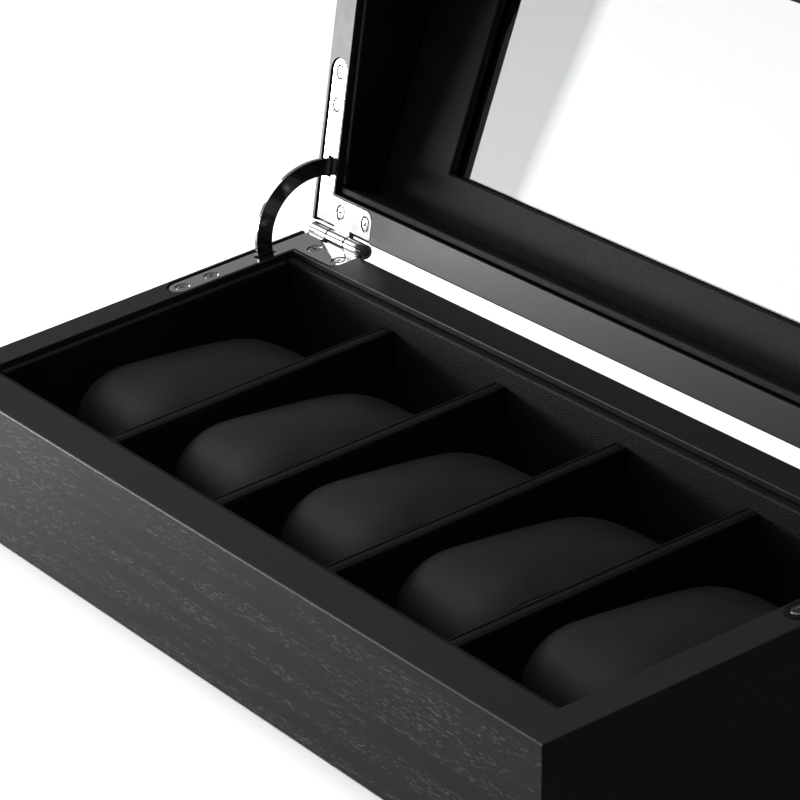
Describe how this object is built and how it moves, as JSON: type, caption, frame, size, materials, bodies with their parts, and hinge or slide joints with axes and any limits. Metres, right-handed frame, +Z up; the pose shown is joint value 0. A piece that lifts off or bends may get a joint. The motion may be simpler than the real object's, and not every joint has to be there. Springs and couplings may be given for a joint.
{
  "type": "watch box",
  "caption": "Open watch box: black oak case cut on a slant, leather-lined bays with lift-out pillows, and a glazed lid on a pair of stay hinges.",
  "frame": {"origin": "centre of the underside of the case, on the surface that it stands on", "axes": "+X to the right along the case, +Y to the back, +Z up"},
  "size_m": [0.3024, 0.1743, 0.1812],
  "materials": {
    "black_oak": "black-stained open-pore oak veneer, satin lacquer",
    "black_leather": "smooth fine-grain black leather, satin",
    "black_felt": "short-pile black felt",
    "clear_glass": "clear float glass",
    "polished_nickel": "polished nickel plate",
    "screw_steel": "bright nickel-plated steel"
  },
  "bodies": {
    "base": {"base_back_wall": "black_oak", "base_bottom_panel": "black_oak", "base_felt_pad": "black_felt", "base_front_wall": "black_oak", "base_left_wall": "black_oak", "base_liner_back": "black_leather", "base_liner_front": "black_leather", "base_liner_left": "black_leather", "base_liner_right": "black_leather", "base_right_wall": "black_oak", "divider_1": "black_leather", "divider_2": "black_leather", "divider_3": "black_leather", "divider_4": "black_leather", "floor_liner": "black_leather", "left_base_screw_1": "screw_steel", "left_base_screw_2": "screw_steel", "left_base_screw_3": "screw_steel", "left_base_screw_4": "screw_steel", "left_hinge_base_leaf": "polished_nickel", "left_hinge_pin": "screw_steel", "right_base_screw_1": "screw_steel", "right_base_screw_2": "screw_steel", "right_base_screw_3": "screw_steel", "right_base_screw_4": "screw_steel", "right_hinge_base_leaf": "polished_nickel", "right_hinge_pin": "screw_steel"},
    "lid": {"glass_pane": "clear_glass", "left_hinge_lid_leaf": "polished_nickel", "left_lid_screw_1": "screw_steel", "left_lid_screw_2": "screw_steel", "left_lid_screw_3": "screw_steel", "left_lid_screw_4": "screw_steel", "lid_back_rail": "black_oak", "lid_front_rail": "black_oak", "lid_left_rail": "black_oak", "lid_liner_back": "black_leather", "lid_liner_front": "black_leather", "lid_liner_left": "black_leather", "lid_liner_right": "black_leather", "lid_right_rail": "black_oak", "lid_top_panel": "black_oak", "lid_window_frame": "black_leather", "right_hinge_lid_leaf": "polished_nickel", "right_lid_screw_1": "screw_steel", "right_lid_screw_2": "screw_steel", "right_lid_screw_3": "screw_steel", "right_lid_screw_4": "screw_steel"},
    "left_stay": {"left_stay_arm": "polished_nickel"},
    "right_stay": {"right_stay_arm": "polished_nickel"},
    "cushion_1": {"cushion_1": "black_leather"},
    "cushion_2": {"cushion_2": "black_leather"},
    "cushion_3": {"cushion_3": "black_leather"},
    "cushion_4": {"cushion_4": "black_leather"},
    "cushion_5": {"cushion_5": "black_leather"}
  },
  "joints": [
    {"name": "lid_hinge", "type": "hinge", "parent": "base", "child": "lid", "pos_m": [0, 0.06042, 0.06172], "axis": [-1, 0, 0], "range_deg": [-108.8, 0]},
    {"name": "left_stay_pivot", "type": "hinge", "parent": "base", "child": "left_stay", "pos_m": [0, 0.06042, 0.06172], "axis": [-1, 0, 0], "range_deg": [-59.9, 0]},
    {"name": "right_stay_pivot", "type": "hinge", "parent": "base", "child": "right_stay", "pos_m": [0, 0.06042, 0.06172], "axis": [-1, 0, 0], "range_deg": [-59.9, 0]},
    {"name": "cushion_1_lift", "type": "slide", "parent": "base", "child": "cushion_1", "axis": [0, 0, 1], "range_m": [0, 0.06]},
    {"name": "cushion_2_lift", "type": "slide", "parent": "base", "child": "cushion_2", "axis": [0, 0, 1], "range_m": [0, 0.06]},
    {"name": "cushion_3_lift", "type": "slide", "parent": "base", "child": "cushion_3", "axis": [0, 0, 1], "range_m": [0, 0.06]},
    {"name": "cushion_4_lift", "type": "slide", "parent": "base", "child": "cushion_4", "axis": [0, 0, 1], "range_m": [0, 0.06]},
    {"name": "cushion_5_lift", "type": "slide", "parent": "base", "child": "cushion_5", "axis": [0, 0, 1], "range_m": [0, 0.06]}
  ],
  "couplings": [
    {"joint": "left_stay_pivot", "follows": "lid_hinge", "ratio": 0.55},
    {"joint": "right_stay_pivot", "follows": "lid_hinge", "ratio": 0.55}
  ]
}
